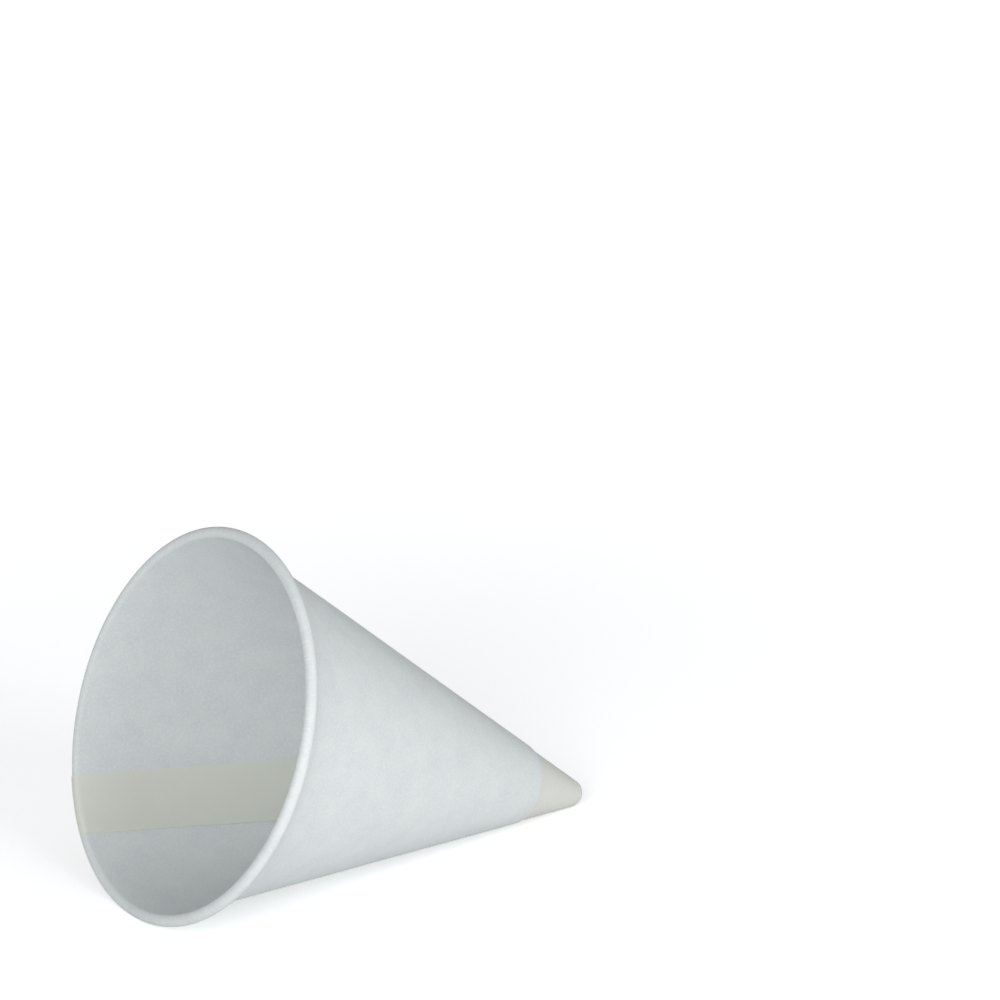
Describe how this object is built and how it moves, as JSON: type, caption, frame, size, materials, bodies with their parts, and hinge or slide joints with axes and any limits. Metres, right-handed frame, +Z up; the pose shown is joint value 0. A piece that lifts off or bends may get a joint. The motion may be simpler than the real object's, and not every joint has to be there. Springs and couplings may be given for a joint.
{
  "type": "cone paper cup",
  "caption": "White paper drinking cup: a pointed cone wound from one sheet, with a glued side lap, a closed rounded tip and an outward-rolled rim.",
  "frame": {"origin": "centre of the bottom of the bounding box, on the surface the cup lies on", "axes": "+Z up; +X from the mouth towards the tip, so the cup's axis lies in the XZ plane and leans 20.2 degrees down towards the tip; the side lap is on the +Y side, low down"},
  "size_m": [0.0996, 0.072, 0.0675],
  "materials": {
    "paper": "matt uncoated bleached cup paper, faintly cool white"
  },
  "bodies": {
    "root": {"cup": "paper"}
  },
  "joints": []
}
